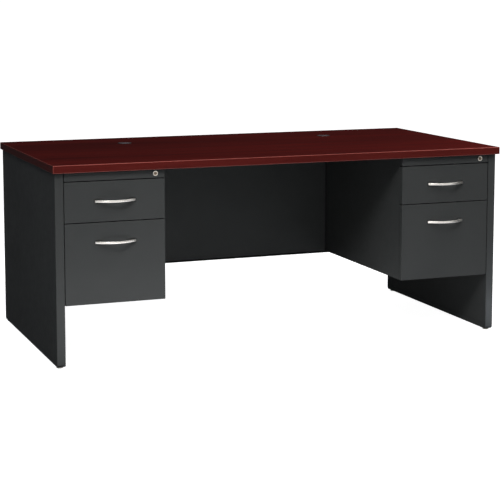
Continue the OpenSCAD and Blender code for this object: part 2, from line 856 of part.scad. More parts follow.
worksurface_core();
worksurface_laminate();
worksurface_backer();
edge_bands();
grommet_sleeves();
left_grommet_cap();
right_grommet_cap();
left_end_panel();
right_end_panel();
end_panel_liners();
end_panel_stiffeners();
glide_nuts();
left_front_glide();
left_rear_glide();
right_front_glide();
right_rear_glide();
modesty_panel();
modesty_liner();
top_stiffeners();
top_screws();
assembly_bolts();
left_pedestal_case();
right_pedestal_case();
lock_rails();
lock_housings();
cabinet_slides();
left_lock_plug();
right_lock_plug();
left_lock_rod();
right_lock_rod();
left_lock_bar();
right_lock_bar();
left_box_front();
left_box_tray();
left_box_pull();
left_box_pull_screws();
left_box_slides();
left_box_carriers();
left_pencil_tray();
right_box_front();
right_box_tray();
right_box_pull();
right_box_pull_screws();
right_box_slides();
right_box_carriers();
right_pencil_tray();
left_file_front();
left_file_tray();
left_file_pull();
left_file_pull_screws();
left_file_slides();
left_file_carriers();
left_file_rails();
right_file_front();
right_file_tray();
right_file_pull();
right_file_pull_screws();
right_file_slides();
right_file_carriers();
right_file_rails();
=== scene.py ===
"""Teacher desk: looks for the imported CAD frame. Metres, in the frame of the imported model."""

import json
import math

import bmesh
import bpy
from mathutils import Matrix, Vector

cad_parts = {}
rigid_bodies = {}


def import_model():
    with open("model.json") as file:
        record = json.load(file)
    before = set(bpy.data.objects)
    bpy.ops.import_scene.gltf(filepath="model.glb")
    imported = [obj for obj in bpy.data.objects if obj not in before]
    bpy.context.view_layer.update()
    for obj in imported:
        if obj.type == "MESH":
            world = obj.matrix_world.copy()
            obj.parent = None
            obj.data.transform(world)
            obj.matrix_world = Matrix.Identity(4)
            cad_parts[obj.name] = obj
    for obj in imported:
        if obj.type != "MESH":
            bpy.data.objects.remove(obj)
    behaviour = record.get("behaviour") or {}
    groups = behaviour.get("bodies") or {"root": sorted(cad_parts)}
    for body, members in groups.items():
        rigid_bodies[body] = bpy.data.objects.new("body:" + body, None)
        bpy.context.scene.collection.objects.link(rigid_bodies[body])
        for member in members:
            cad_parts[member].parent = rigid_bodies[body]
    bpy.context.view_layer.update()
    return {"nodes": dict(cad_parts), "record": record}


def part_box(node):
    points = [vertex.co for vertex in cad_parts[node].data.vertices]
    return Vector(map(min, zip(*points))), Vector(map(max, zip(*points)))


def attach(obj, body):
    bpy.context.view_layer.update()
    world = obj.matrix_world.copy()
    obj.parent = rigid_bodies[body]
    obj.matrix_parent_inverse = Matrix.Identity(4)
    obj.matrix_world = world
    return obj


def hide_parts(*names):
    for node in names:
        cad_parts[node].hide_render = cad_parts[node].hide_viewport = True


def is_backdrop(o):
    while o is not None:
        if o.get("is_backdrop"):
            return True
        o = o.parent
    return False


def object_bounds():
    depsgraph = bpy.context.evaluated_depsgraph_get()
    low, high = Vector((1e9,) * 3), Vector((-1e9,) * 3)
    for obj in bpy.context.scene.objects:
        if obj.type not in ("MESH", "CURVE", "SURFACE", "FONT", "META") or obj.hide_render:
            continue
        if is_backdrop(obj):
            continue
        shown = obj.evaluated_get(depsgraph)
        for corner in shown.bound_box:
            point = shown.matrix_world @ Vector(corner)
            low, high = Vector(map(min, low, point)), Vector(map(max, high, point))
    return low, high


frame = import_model()
NODES = frame["nodes"]
BODIES = frame["record"]["behaviour"]["bodies"]
BODY_OF = {node: body for body, members in BODIES.items() for node in members}
SLOT_OF = {s["node"]: s["material_slot"] for s in frame["record"]["subparts"]}
SIDES = ("left", "right")
KINDS = ("box", "file")
MM = 0.001


# ---------------------------------------------------------------- camera
SENSOR_WIDTH = 36.0  # millimetres, as is the lens
LENS = 108.30
LENS_SHIFT = -0.16
FARTHEST = 500.0
CAMERA_PLACE = (-2.1790, -5.6803, 1.3745)
CAMERA_LOOKS_DOWN = 6.831  # degrees
CAMERA_TURNED_RIGHT = 21.116

scene = bpy.context.scene
camera_data = bpy.data.cameras.new("camera")
camera_data.sensor_width = SENSOR_WIDTH
camera_data.lens = LENS
camera_data.shift_y = LENS_SHIFT
camera_data.clip_end = FARTHEST
camera = bpy.data.objects.new("camera", camera_data)
camera.location = CAMERA_PLACE
camera.rotation_euler = (math.radians(90 - CAMERA_LOOKS_DOWN), 0.0, math.radians(-CAMERA_TURNED_RIGHT))
scene.collection.objects.link(camera)
scene.camera = camera
scene.view_settings.view_transform = "Standard"


# ---------------------------------------------------------------- materials
MOST_NOISE = (0.3, 0.7)  # nearly all values of a noise lie in here


def scaled(colour, factor):
    """A darker or lighter colour."""
    return tuple(factor * c for c in colour)


class Shader:
    """A node material under construction, with short calls for the nodes used here."""

    def __init__(self, name):
        self.material = bpy.data.materials.new(name)
        self.material.use_nodes = True
        self.tree = self.material.node_tree
        self.bsdf = self.tree.nodes["Principled BSDF"]
        self.coords = self.node("ShaderNodeTexCoord").outputs["Object"]

    def node(self, kind, **settings):
        made = self.tree.nodes.new(kind)
        for key, value in settings.items():
            setattr(made, key, value)
        return made

    def feed(self, socket, value):
        """Links or sets an input. A colour is given as three numbers."""
        if isinstance(value, bpy.types.NodeSocket):
            self.tree.links.new(value, socket)
        elif socket.type == "RGBA":
            socket.default_value = (*value, 1.0)
        else:
            socket.default_value = value

    def stretched(self, scale):
        """The object's coordinates, scaled along X, Y and Z."""
        made = self.node("ShaderNodeMapping")
        self.feed(made.inputs["Vector"], self.coords)
        made.inputs["Scale"].default_value = scale
        return made.outputs["Vector"]

    def noise(self, vector, scale=1.0, detail=3.0, roughness=0.5, distortion=0.0):
        made = self.node("ShaderNodeTexNoise")
        inputs = {
            "Vector": vector,
            "Scale": scale,
            "Detail": detail,
            "Roughness": roughness,
            "Distortion": distortion,
        }
        for key, value in inputs.items():
            self.feed(made.inputs[key], value)
        return made.outputs["Fac"]

    def spread(self, value, low, high, out_low=0.0, out_high=1.0):
        """Maps low..high smoothly to out_low..out_high."""
        made = self.node("ShaderNodeMapRange", interpolation_type="SMOOTHSTEP")
        limits = {"From Min": low, "From Max": high, "To Min": out_low, "To Max": out_high}
        for key, limit in {"Value": value, **limits}.items():
            self.feed(made.inputs[key], limit)
        return made.outputs["Result"]

    def math(self, operation, a, b):
        made = self.node("ShaderNodeMath", operation=operation)
        self.feed(made.inputs[0], a)
        self.feed(made.inputs[1], b)
        return made.outputs[0]

    def times(self, a, b):
        """The product of two values."""
        return self.math("MULTIPLY", a, b)

    def mix(self, share, a, b):
        """Colour a where share is 0, b where it is 1."""
        made = self.node("ShaderNodeMix", data_type="RGBA")
        for key, value in {"Factor": share, "A": a, "B": b}.items():
            self.feed(made.inputs[key], value)
        return made.outputs["Result"]

    def ramp(self, value, stops):
        made = self.node("ShaderNodeValToRGB")
        band = made.color_ramp
        while len(band.elements) < len(stops):
            band.elements.new(0.5)
        for element, (at, colour) in zip(band.elements, stops):
            element.position = at
            element.color = (*colour, 1.0)
        self.feed(made.inputs["Fac"], value)
        return made.outputs["Color"]

    def bump(self, height, strength, distance):
        made = self.node("ShaderNodeBump")
        for key, value in {"Strength": strength, "Distance": distance, "Height": height}.items():
            self.feed(made.inputs[key], value)
        return made.outputs["Normal"]

    def edges(self, radius):
        """1 along convex and concave edges within radius, 0 on flat faces."""
        rounded = self.node("ShaderNodeBevel", samples=4)
        rounded.inputs["Radius"].default_value = radius
        flat = self.node("ShaderNodeNewGeometry")
        dot = self.node("ShaderNodeVectorMath", operation="DOT_PRODUCT")
        self.feed(dot.inputs[0], rounded.outputs["Normal"])
        self.feed(dot.inputs[1], flat.outputs["Normal"])
        return self.spread(self.math("SUBTRACT", 1.0, dot.outputs["Value"]), 0.02, 0.25)

    def painted_gap_shade(self, reach):
        """Painted shade from ambient occlusion: 0 deep in a narrow gap, 1 in the open."""
        made = self.node("ShaderNodeAmbientOcclusion", samples=8)
        made.inputs["Distance"].default_value = reach
        return self.spread(made.outputs["AO"], 0.58, 0.99)

    def finish(self, **sockets):
        """Feeds the shader's own sockets, named with underscores for spaces, and returns the material."""
        for key, value in sockets.items():
            self.feed(self.bsdf.inputs[key.replace("_", " ")], value)
        return self.material


def coated_steel(name, dark, light, roughness, grain=1.0):
    """Powder-coated sheet: orange-peel texture, faint drifts of tone, bends lightened as rubbed wear and as
    a painted highlight, and painted shade in the gaps.
    """
    s = Shader(name)
    drift = s.noise(s.coords, scale=3.2, roughness=0.6)
    cloud = s.noise(s.coords, scale=38.0, detail=4.0, roughness=0.6)
    speck = s.noise(s.coords, scale=1500.0, detail=2.0)
    patches = s.noise(s.coords, scale=60.0, detail=5.0, roughness=0.7)
    peel = s.noise(s.coords, scale=1300.0, detail=2.0)
    # Bends lightened in patches: rubbed wear, and a painted highlight where the bends catch light.
    wear_and_highlight = s.times(s.edges(1.6 * MM), s.spread(patches, 0.42, 0.68))
    rub_and_highlight_colour = tuple(3.2 * c + 0.01 for c in light)
    tone = s.mix(s.spread(drift, *MOST_NOISE), dark, light)
    tone = s.mix(s.spread(speck, 0.56, 0.74, 0.0, 0.28), tone, scaled(light, 2.1))
    tone = s.mix(s.times(wear_and_highlight, 0.35), tone, rub_and_highlight_colour)
    # Painted shade: near-black in narrow gaps and creases where the ambient occlusion is low.
    tone = s.mix(s.painted_gap_shade(8.0 * MM), scaled(dark, 0.04), tone)
    rough = s.spread(cloud, *MOST_NOISE, roughness - 0.02, roughness + 0.02)
    rough = s.math("SUBTRACT", rough, s.times(wear_and_highlight, 0.10))
    normal = s.bump(peel, strength=0.18 * grain, distance=0.03 * MM)
    return s.finish(Base_Color=tone, Roughness=rough, Normal=normal, Specular_IOR_Level=0.3, IOR=1.45)


def mahogany(name, along, dark, light, roughness, gloss, rub_and_highlight=0.0):
    """Printed mahogany grain along X or Y: broad figure, fibres, short dark pores and a satin film."""
    s = Shader(name)

    def grain(length, across):
        return s.stretched((length, across, across) if along == "X" else (across, length, across))

    figure = s.noise(grain(0.75, 8.5), detail=4.0, roughness=0.55, distortion=0.9)
    bands = s.noise(grain(1.6, 46.0), detail=5.0, roughness=0.6, distortion=0.35)
    fibres = s.noise(grain(5.0, 330.0), detail=5.0, roughness=0.65, distortion=0.2)
    pores = s.noise(grain(34.0, 950.0), roughness=0.6)
    tone = s.math("ADD", s.times(figure, 0.50), s.times(bands, 0.32))
    tone = s.math("ADD", tone, s.times(fibres, 0.18))
    middle = tuple(0.52 * a + 0.48 * b for a, b in zip(dark, light))
    colour = s.ramp(tone, [(0.36, dark), (0.50, middle), (0.64, light)])
    pore = s.spread(pores, 0.62, 0.72)
    colour = s.mix(s.times(pore, 0.45), colour, scaled(dark, 0.35))
    rough = s.spread(fibres, *MOST_NOISE, roughness - 0.035, roughness + 0.045)
    normal = s.bump(s.math("SUBTRACT", fibres, pore), strength=0.08, distance=0.02 * MM)
    # Edges lightened in patches: rubbed wear and a painted highlight along the arris.
    if rub_and_highlight:
        wear_and_highlight = s.times(s.edges(2.4 * MM), s.spread(bands, 0.25, 0.6, 0.55, 1.0))
        colour = s.mix(s.times(wear_and_highlight, rub_and_highlight), colour, (0.42, 0.12, 0.10))
    return s.finish(Base_Color=colour, Roughness=rough, Normal=normal, Specular_IOR_Level=gloss, IOR=1.45)


def drawn_metal(name, colour, roughness, grain, streak, metallic):
    """Satin metal with fine drawn lines; grain is the stretch of the lines along X, Y and Z."""
    s = Shader(name)
    lines = s.noise(s.stretched(grain), detail=4.0, roughness=0.7)
    smudge = s.noise(s.coords, scale=55.0, roughness=0.6)
    edge_highlight_colour = tuple(min(1.0, 1.15 * c) for c in colour)
    tone = s.mix(s.spread(lines, *MOST_NOISE), scaled(colour, 1 - streak), colour)
    # Painted highlight: edges a little lighter.
    tone = s.mix(s.times(s.edges(0.8 * MM), 0.35), tone, edge_highlight_colour)
    rough = s.spread(lines, *MOST_NOISE, roughness - 0.05, roughness + 0.05)
    rough = s.math("ADD", rough, s.spread(smudge, 0.4, 0.7, 0.0, 0.06))
    normal = s.bump(lines, strength=0.10, distance=0.03 * MM)
    return s.finish(Base_Color=tone, Roughness=rough, Normal=normal, Metallic=metallic)


def moulded_plastic(name, colour, roughness):
    """Textured plastic, a little hazy and paler along its edges."""
    s = Shader(name)
    texture = s.noise(s.coords, scale=1100.0, roughness=0.6)
    haze = s.noise(s.coords, scale=45.0, roughness=0.6)
    tone = s.mix(s.spread(haze, 0.35, 0.7), colour, scaled(colour, 1.35))
    tone = s.mix(s.times(s.edges(1.0 * MM), 0.3), tone, scaled(colour, 2.6))
    rough = s.spread(haze, *MOST_NOISE, roughness - 0.05, roughness + 0.06)
    normal = s.bump(texture, strength=0.25, distance=0.08 * MM)
    return s.finish(Base_Color=tone, Roughness=rough, Normal=normal)


def chipboard(name):
    """Pressed wood chips."""
    s = Shader(name)
    chips = s.node("ShaderNodeTexVoronoi", feature="F1")
    s.feed(chips.inputs["Vector"], s.stretched((260.0, 260.0, 900.0)))
    chips.inputs["Scale"].default_value = 1.0
    depth = chips.outputs["Distance"]
    fine = s.noise(s.coords, scale=700.0, detail=4.0, roughness=0.7)
    stops = [(0.1, (0.52, 0.36, 0.20)), (0.55, (0.36, 0.22, 0.11)), (0.9, (0.20, 0.11, 0.05))]
    tone = s.mix(s.spread(fine, 0.4, 0.7, 0.0, 0.4), s.ramp(depth, stops), (0.62, 0.46, 0.28))
    normal = s.bump(depth, strength=0.4, distance=0.2 * MM)
    return s.finish(Base_Color=tone, Roughness=0.85, Normal=normal)


EVEN_GRAIN = (700.0, 700.0, 700.0)
PULL_GRAIN = (60.0, 60.0, 2600.0)
SLIDE_GRAIN = (420.0, 40.0, 420.0)
MATERIALS = {
    "charcoal_steel": coated_steel(
        "charcoal powder coat",
        dark=(0.0375, 0.0395, 0.0390),
        light=(0.0425, 0.0445, 0.0440),
        roughness=0.46,
    ),
    "tray_steel": coated_steel(
        "tray powder coat",
        dark=(0.054, 0.056, 0.057),
        light=(0.066, 0.068, 0.069),
        roughness=0.50,
        grain=0.7,
    ),
    "primer_steel": coated_steel(
        "primer",
        dark=(0.020, 0.020, 0.021),
        light=(0.030, 0.030, 0.031),
        roughness=0.62,
        grain=0.6,
    ),
    "mahogany_laminate": mahogany(
        "mahogany laminate",
        along="X",
        dark=(0.0257, 0.0012, 0.0009),
        light=(0.0655, 0.0042, 0.0029),
        roughness=0.50,
        gloss=0.05,
    ),
    "mahogany_edge": mahogany(
        "mahogany edge",
        along="X",
        dark=(0.056, 0.0046, 0.0032),
        light=(0.098, 0.0086, 0.0062),
        roughness=0.42,
        gloss=0.2,
        rub_and_highlight=0.8,
    ),
    # Painted shade: a darker copy of the edge mahogany for the ends of the band.
    "mahogany_side_edge": mahogany(
        "mahogany side edge",
        along="Y",
        dark=(0.036, 0.0040, 0.0030),
        light=(0.064, 0.0075, 0.0058),
        roughness=0.42,
        gloss=0.2,
        rub_and_highlight=0.3,
    ),
    # Painted highlight: much lighter copies of the edge mahogany for the rounded arrises, lighter along the
    # front than along the sides.
    "mahogany_arris": mahogany(
        "mahogany arris",
        along="X",
        dark=(0.22, 0.040, 0.031),
        light=(0.38, 0.085, 0.068),
        roughness=0.34,
        gloss=0.4,
    ),
    "mahogany_side_arris": mahogany(
        "mahogany side arris",
        along="Y",
        dark=(0.10, 0.018, 0.014),
        light=(0.20, 0.040, 0.032),
        roughness=0.36,
        gloss=0.4,
    ),
    "board": chipboard("chipboard"),
    "backer_sheet": moulded_plastic("backer sheet", (0.055, 0.045, 0.040), roughness=0.62),
    "satin_nickel": drawn_metal(
        "satin nickel",
        (0.97, 0.925, 0.865),
        roughness=0.30,
        grain=PULL_GRAIN,
        streak=0.06,
        metallic=0.92,
    ),
    "polished_nickel": drawn_metal(
        "polished nickel",
        (0.82, 0.76, 0.67),
        roughness=0.34,
        grain=EVEN_GRAIN,
        streak=0.05,
        metallic=0.55,
    ),
    "zinc_steel": drawn_metal(
        "zinc-plated steel",
        (0.62, 0.63, 0.63),
        roughness=0.36,
        grain=SLIDE_GRAIN,
        streak=0.14,
        metallic=0.55,
    ),
    "black_plastic": moulded_plastic("black plastic", (0.018, 0.017, 0.018), roughness=0.48),
    "cap_plastic": moulded_plastic("cap plastic", (0.090, 0.068, 0.078), roughness=0.42),
    "lock_plug": drawn_metal(
        "lock plug",
        (0.32, 0.25, 0.18),
        roughness=0.38,
        grain=EVEN_GRAIN,
        streak=0.10,
        metallic=0.9,
    ),
}


# ---------------------------------------------------------------- mesh helpers
SHEET = 1.2 * MM  # thickness of the folded sheets
LEAST_CORNER = 0.35 * MM
DRILL_SIDES = 40
DRILL_LENGTH = 6 * MM


def middle_of(low, high):
    return [(a + b) / 2 for a, b in zip(low, high)]


def rounded_outline(low, high, low_radius, high_radius, steps):
    """Points (u, v) anticlockwise round a rounded rectangle, with one radius at low v and one at high v."""
    corners = ((high[0], high[1]), (low[0], high[1]), (low[0], low[1]), (high[0], low[1]))
    points = []
    for quarter, (u, v) in enumerate(corners):
        radius = high_radius if v == high[1] else low_radius
        cu = u - radius if u == high[0] else u + radius
        cv = v - radius if v == high[1] else v + radius
        for k in range(steps + 1):
            a = math.pi / 2 * (quarter + k / steps)
            points.append((cu + radius * math.cos(a), cv + radius * math.sin(a)))
    return points


def bend(radius, steps):
    """(inset, depth) pairs round an outer bend, from the face to the side."""
    angles = [math.pi / 2 * k / steps for k in range(steps + 1)]
    return [(radius - radius * math.sin(a), radius - radius * math.cos(a)) for a in angles]


def place(axis, u, v, depth):
    """A point from two outline coordinates and a depth along axis."""
    return {"X": (depth, u, v), "Y": (u, depth, v), "Z": (u, v, depth)}[axis]


def skin(bm, loops, closed=False):
    """Faces between neighbouring loops. The last joins the first if closed, or else both are capped."""
    for a, b in zip(loops, loops[1:] + (loops[:1] if closed else [])):
        for i in range(len(a)):
            j = (i + 1) % len(a)
            bm.faces.new((a[i], a[j], b[j], b[i]))
    if not closed:
        bm.faces.new(loops[0])
        bm.faces.new(loops[-1])


def shell(rings, low, high, radius, axis, origin, direction=1.0, high_radius=None, closed=False, steps=4):
    """A bmesh through rounded-rectangle rings, each an (inset, depth) from the outline low..high."""
    bm = bmesh.new()
    high_radius = radius if high_radius is None else high_radius
    loops = []
    for inset, depth in rings:
        points = rounded_outline(
            (low[0] + inset, low[1] + inset),
            (high[0] - inset, high[1] - inset),
            max(radius - inset, LEAST_CORNER),
            max(high_radius - inset, LEAST_CORNER),
            steps,
        )
        loops.append([bm.verts.new(place(axis, u, v, origin + direction * depth)) for u, v in points])
    skin(bm, loops, closed)
    return bm


def drilled(mesh, holes):
    """The mesh with round holes through its sheet. holes: (centre, axis, diameter)."""
    blank = bpy.data.objects.new("blank", mesh)
    scene.collection.objects.link(blank)
    drills = []
    for centre, axis, diameter in holes:
        bm = bmesh.new()
        bmesh.ops.create_cone(
            bm,
            cap_ends=True,
            segments=DRILL_SIDES,
            radius1=diameter / 2,
            radius2=diameter / 2,
            depth=DRILL_LENGTH,
        )
        shape = bpy.data.meshes.new("drill")
        bm.to_mesh(shape)
        bm.free()
        drill = bpy.data.objects.new("drill", shape)
        drill.location = centre
        drill.rotation_euler.x = math.pi / 2 if axis == "Y" else 0.0
        scene.collection.objects.link(drill)
        cut = blank.modifiers.new("drill", "BOOLEAN")
        cut.operation, cut.solver, cut.object = "DIFFERENCE", "EXACT", drill
        drills.append(drill)
    bpy.context.view_layer.update()
    done = bpy.data.meshes.new_from_object(blank.evaluated_get(bpy.context.evaluated_depsgraph_get()))
    for used in (blank, *drills):
        bpy.data.objects.remove(used)
    return done


def piece(name, bm, node, looks=None, keep_sharp_over=35.0, holes=()):
    """Links a finished bmesh as a piece that rides on the body of a CAD node and has its slot."""
    body, slot_name = BODY_OF[node], SLOT_OF[node]
    bmesh.ops.recalc_face_normals(bm, faces=bm.faces)
    mesh = bpy.data.meshes.new(name)
    bm.to_mesh(mesh)
    bm.free()
    if holes:
        mesh = drilled(mesh, holes)
    for polygon in mesh.polygons:
        polygon.use_smooth = True
    mesh.set_sharp_from_angle(angle=math.radians(keep_sharp_over))
    made = bpy.data.objects.new(name, mesh)
    scene.collection.objects.link(made)
    for look in looks or (slot_name,):
        mesh.materials.append(MATERIALS[look])
    normals = made.modifiers.new("weighted normals", "WEIGHTED_NORMAL")
    normals.keep_sharp = True
    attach(made, body)
    return made


# ---------------------------------------------------------------- folded fronts and rails
FRONT_BEND = 1.1 * MM
DRAWER_LIP = 16 * MM
RAIL_LIP = 8 * MM
LOCK_HOLE = 16.4 * MM


def folded_front(name, low, high, lip, node, holes=()):
    """A folded steel front: rounded bends, sides going back, and a lip turned in behind."""
    depth = high.y - low.y
    rings = bend(FRONT_BEND, 5)
    rings += [(0.0, depth - SHEET), (0.35 * MM, depth - 0.35 * MM), (SHEET, depth)]
    rings += [(lip, depth), (lip, depth - SHEET), (SHEET, depth - SHEET), (SHEET, SHEET)]
    bm = shell(rings, (low.x, low.z), (high.x, high.z), FRONT_BEND, "Y", low.y)
    made = piece(name, bm, node, holes=holes)
    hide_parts(node)


for side in SIDES:
    for kind in KINDS:
        node = f"{side}_{kind}_front"
        folded_front(f"{node}_panel", *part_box(node), DRAWER_LIP, node)

rails_low, rails_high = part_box("lock_rails")
for side in SIDES:
    low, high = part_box(f"{side}_box_front")
    rail_low = Vector((low.x, rails_low.y, rails_low.z))
    rail_high = Vector((high.x, rails_high.y, rails_high.z))
    lock_x, _, lock_z = middle_of(*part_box(f"{side}_lock_plug"))
    hole = ((lock_x, rails_low.y + SHEET / 2, lock_z), "Y", LOCK_HOLE)
    folded_front(f"{side}_rail", rail_low, rail_high, RAIL_LIP, "lock_rails", [hole])


# ---------------------------------------------------------------- end panels
FOOT_CORNER = 10 * MM
TOP_CORNER = 2 * MM
PANEL_BEND = 2.6 * MM
GLIDE_HOLE = 10.5 * MM
HEM_WIDTH = 17 * MM
HEM_HEIGHT = 20 * MM
HEM_RINGS = ((0.4 * MM, -0.4 * MM), (0.4 * MM, 0.5 * MM), (0.7 * MM, 0.8 * MM))  # (inset, lift)
ARC_STEPS = 8


def end_panel(side):
    """Box-formed outer skin: rounded lower corners and bends, sides going in towards the pedestal."""
    low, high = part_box(f"{side}_end_panel")
    out, direction = (low.x, 1.0) if side == "left" else (high.x, -1.0)
    depth = high.x - low.x
    rings = bend(PANEL_BEND, 6)
    rings += [(0.0, depth - 0.5 * MM), (0.3 * MM, depth), (SHEET, depth), (SHEET, SHEET)]
    bm = shell(
        rings,
        (low.y, low.z),
        (high.y, high.z),
        FOOT_CORNER,
        "X",
        out,
        direction,
        high_radius=TOP_CORNER,
        steps=ARC_STEPS,
    )
    holes = []
    for end in ("front", "rear"):
        x, y, _ = middle_of(*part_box(f"{side}_{end}_glide"))
        holes.append(((x, y, low.z + SHEET / 2), "Z", GLIDE_HOLE))
    made = piece(f"{side}_end_skin", bm, f"{side}_end_panel", holes=holes)
    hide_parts(f"{side}_end_panel")


def end_hem(side):
    """The skin's edge, turned over the liner along the front, foot and rear."""
    low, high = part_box(f"{side}_end_panel")
    face_x, into = (high.x, 1.0) if side == "left" else (low.x, -1.0)
    bm = bmesh.new()
    loops = []
    for inset, lift in HEM_RINGS:
        y0, y1, z0, z1 = low.y + inset, high.y - inset, low.z + inset, high.z - 0.5 * MM
        turn = FOOT_CORNER - inset
        points = [(y0, z1)]
        for cy, start in ((y0 + turn, 1.0), (y1 - turn, 1.5)):
            for k in range(ARC_STEPS + 1):
                a = math.pi * (start + 0.5 * k / ARC_STEPS)
                points.append((cy + turn * math.cos(a), z0 + turn + turn * math.sin(a)))
        front, rear = y0 + (HEM_WIDTH - 2 * inset), y1 - (HEM_WIDTH - 2 * inset)
        foot = z0 + (HEM_HEIGHT - 2 * inset)
        points += [(y1, z1), (rear, z1), (rear, foot), (front, foot), (front, z1)]
        loops.append([bm.verts.new((face_x + into * lift, y, z)) for y, z in points])
    skin(bm, loops)
    piece(f"{side}_end_hem", bm, f"{side}_end_panel")


for side in SIDES:
    end_panel(side)
    end_hem(side)


# ---------------------------------------------------------------- edge of the work surface
ARRIS = 2.2 * MM
BAND_CORNER = 3.2 * MM
BAND_LOOKS = ("mahogany_edge", "mahogany_side_edge", "mahogany_arris", "mahogany_side_arris")
LEVEL_FACE = 0.96  # a face is flat, not part of an arris, if its normal is this close to an axis


def edge_banding():
    """The strip round the board, with rounded arrises and corners."""
    low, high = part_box("edge_bands")
    core_low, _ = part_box("worksurface_core")
    band = core_low.x - low.x
    thick = high.z - low.z
    lower = bend(ARRIS, 6)
    upper = [(inset, thick - depth) for inset, depth in reversed(lower)]
    rings = [(band, 0.0), *lower, *upper, (band, thick)]
    bm = shell(rings, (low.x, low.y), (high.x, high.y), BAND_CORNER, "Z", low.z, closed=True, steps=6)
    bmesh.ops.recalc_face_normals(bm, faces=bm.faces)
    bm.normal_update()
    for face in bm.faces:
        centre = face.calc_center_median()
        near_end = min(centre.x - low.x, high.x - centre.x)
        near_front = min(centre.y - low.y, high.y - centre.y)
        on_side = near_end < near_front
        on_arris = max(abs(c) for c in face.normal) < LEVEL_FACE
        # The arris faces take the painted-highlight materials.
        face.material_index = int(on_side) + 2 * int(on_arris)
    made = piece("edge_banding", bm, "edge_bands", BAND_LOOKS, 50.0)
    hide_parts("edge_bands")


edge_banding()


# ---------------------------------------------------------------- pulls
PULL_SLIMNESS = 0.80  # the pull's height as a share of its CAD node's
PULL_FOOT = 19.0 * MM
PULL_THICKNESS = 7.0 * MM
PULL_HEEL = 3.6 * MM
PULL_STATIONS = 60
PULL_SIDES = 36
FLAT_FOOT = 9.0  # how square a foot's section is; 2 would be an ellipse


def flat_arc(half_span, base, top):
    """A function from -1..1 to the points of an arc over 2 * half_span that rises from base to top."""
    rise = top - base
    radius = (half_span * half_span + rise * rise) / (2 * rise)
    sweep = math.asin(half_span / radius)
    return lambda s: (radius * math.sin(s * sweep), base + radius * math.cos(s * sweep) - (radius - rise))


def squared(value, squareness):
    """A cosine or sine, pushed out towards a rounded oblong."""
    return math.copysign(abs(value) ** (2.0 / squareness), value)


def bow_pull(node):
    """A bow swept between its outer and inner arcs, with a softened oblong section and flat feet."""
    low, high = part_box(node)
    centre_x, face_y, centre_z = (low.x + high.x) / 2, high.y, (low.z + high.z) / 2
    half = (high.x - low.x) / 2 - 0.6 * MM
    reach = high.y - low.y
    height = PULL_SLIMNESS * (high.z - low.z)
    outer = flat_arc(half, PULL_HEEL, reach)
    inner = flat_arc(half - PULL_FOOT, 0.0, reach - PULL_THICKNESS)
    sections = [((-half, 0.0), (PULL_FOOT - half, 0.0), FLAT_FOOT)]
    for i in range(PULL_STATIONS + 1):
        s = -1.0 + 2.0 * i / PULL_STATIONS
        sections.append((outer(s), inner(s), 3.4 + 6.0 * abs(s) ** 5))
    sections.append(((half, 0.0), (half - PULL_FOOT, 0.0), FLAT_FOOT))
    bm = bmesh.new()
    loops = []
    for (ox, oy), (ix, iy), squareness in sections:
        mx, my, hx, hy = (ox + ix) / 2, (oy + iy) / 2, (ox - ix) / 2, (oy - iy) / 2
        loop = []
        for k in range(PULL_SIDES):
            a = 2 * math.pi * k / PULL_SIDES
            c, z = squared(math.cos(a), squareness), squared(math.sin(a), squareness)
            at = (centre_x + mx + hx * c, face_y - (my + hy * c), centre_z + z * height / 2)
            loop.append(bm.verts.new(at))
        loops.append(loop)
    skin(bm, loops)
    made = piece(f"{node}_bow", bm, node, keep_sharp_over=50.0)
    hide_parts(node)


for side in SIDES:
    for kind in KINDS:
        bow_pull(f"{side}_{kind}_pull")


# ---------------------------------------------------------------- turned pieces
# Radii and heights of the profiles are in millimetres.
LOCK_BARREL = 8.0
PLUG_SLIP = 0.2
BEZEL_PROUD = 1.8
BEZEL_INSIDE_NUT = 1.3
RING_NUT = 3.3
SLEEVE_DEPTH = 24.0
SLEEVE_HOLE = 25.2
SLEEVE_WALL = 1.8
STEM = 4.76
STEM_START = 5.2
PLAIN_END = 1.0
THREAD_START = 6.0
THREAD_PITCH = 1.5
THREAD_DEPTH = 0.55


def turned(name, profile, centre, axis, node, around=48, keep_sharp_over=40.0, hollow=True):
    """A (radius, height) profile swept round an axis; a solid one is closed by a disc at each end."""
    bm = bmesh.new()
    loops = []
    for radius, height in profile:
        loop = []
        for k in range(around):
            a = 2 * math.pi * k / around
            offset = place(axis, radius * MM * math.cos(a), radius * MM * math.sin(a), height * MM)
            loop.append(bm.verts.new(Vector(centre) + Vector(offset)))
        loops.append(loop)
    skin(bm, loops, closed=hollow)
    made = piece(name, bm, node, keep_sharp_over=keep_sharp_over)
    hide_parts(node)


def arc_points(centre_r, centre_h, radius, start, end, steps):
    """Points of a rounded corner in a (radius, height) profile; angles in degrees."""
    angles = [math.radians(start + (end - start) * k / steps) for k in range(steps + 1)]
    return [(centre_r + radius * math.cos(a), centre_h + radius * math.sin(a)) for a in angles]


def lock_bezels():
    """Turned bezel with a rounded, dished face, its barrel, and the ring nut behind the rail."""
    low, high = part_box("lock_housings")
    plug_low, plug_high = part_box("left_lock_plug")
    nut = (high.z - low.z) / MM / 2
    bezel = nut - BEZEL_INSIDE_NUT
    bore = (plug_high.z - plug_low.z) / MM / 2 + PLUG_SLIP
    length = (high.y - low.y) / MM - BEZEL_PROUD
    behind = SHEET / MM
    profile = [(bore, length), (bore, -0.9), (bore + 0.5, -1.25)]
    profile += arc_points(bezel - 0.8, -1.0, 0.8, -110.0, 0.0, 8)
    profile += [(bezel, 0.0), (LOCK_BARREL, 0.0), (LOCK_BARREL, behind), (nut, behind)]
    profile += [(nut, behind + RING_NUT), (LOCK_BARREL, behind + RING_NUT)]
    profile += [(LOCK_BARREL, length - 0.4), (LOCK_BARREL - 0.4, length)]
    for side in SIDES:
        lock_x, _, lock_z = middle_of(*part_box(f"{side}_lock_plug"))
        centre = (lock_x, low.y + BEZEL_PROUD * MM, lock_z)
        turned(f"{side}_lock_bezel", profile, centre, "Y", "lock_housings")


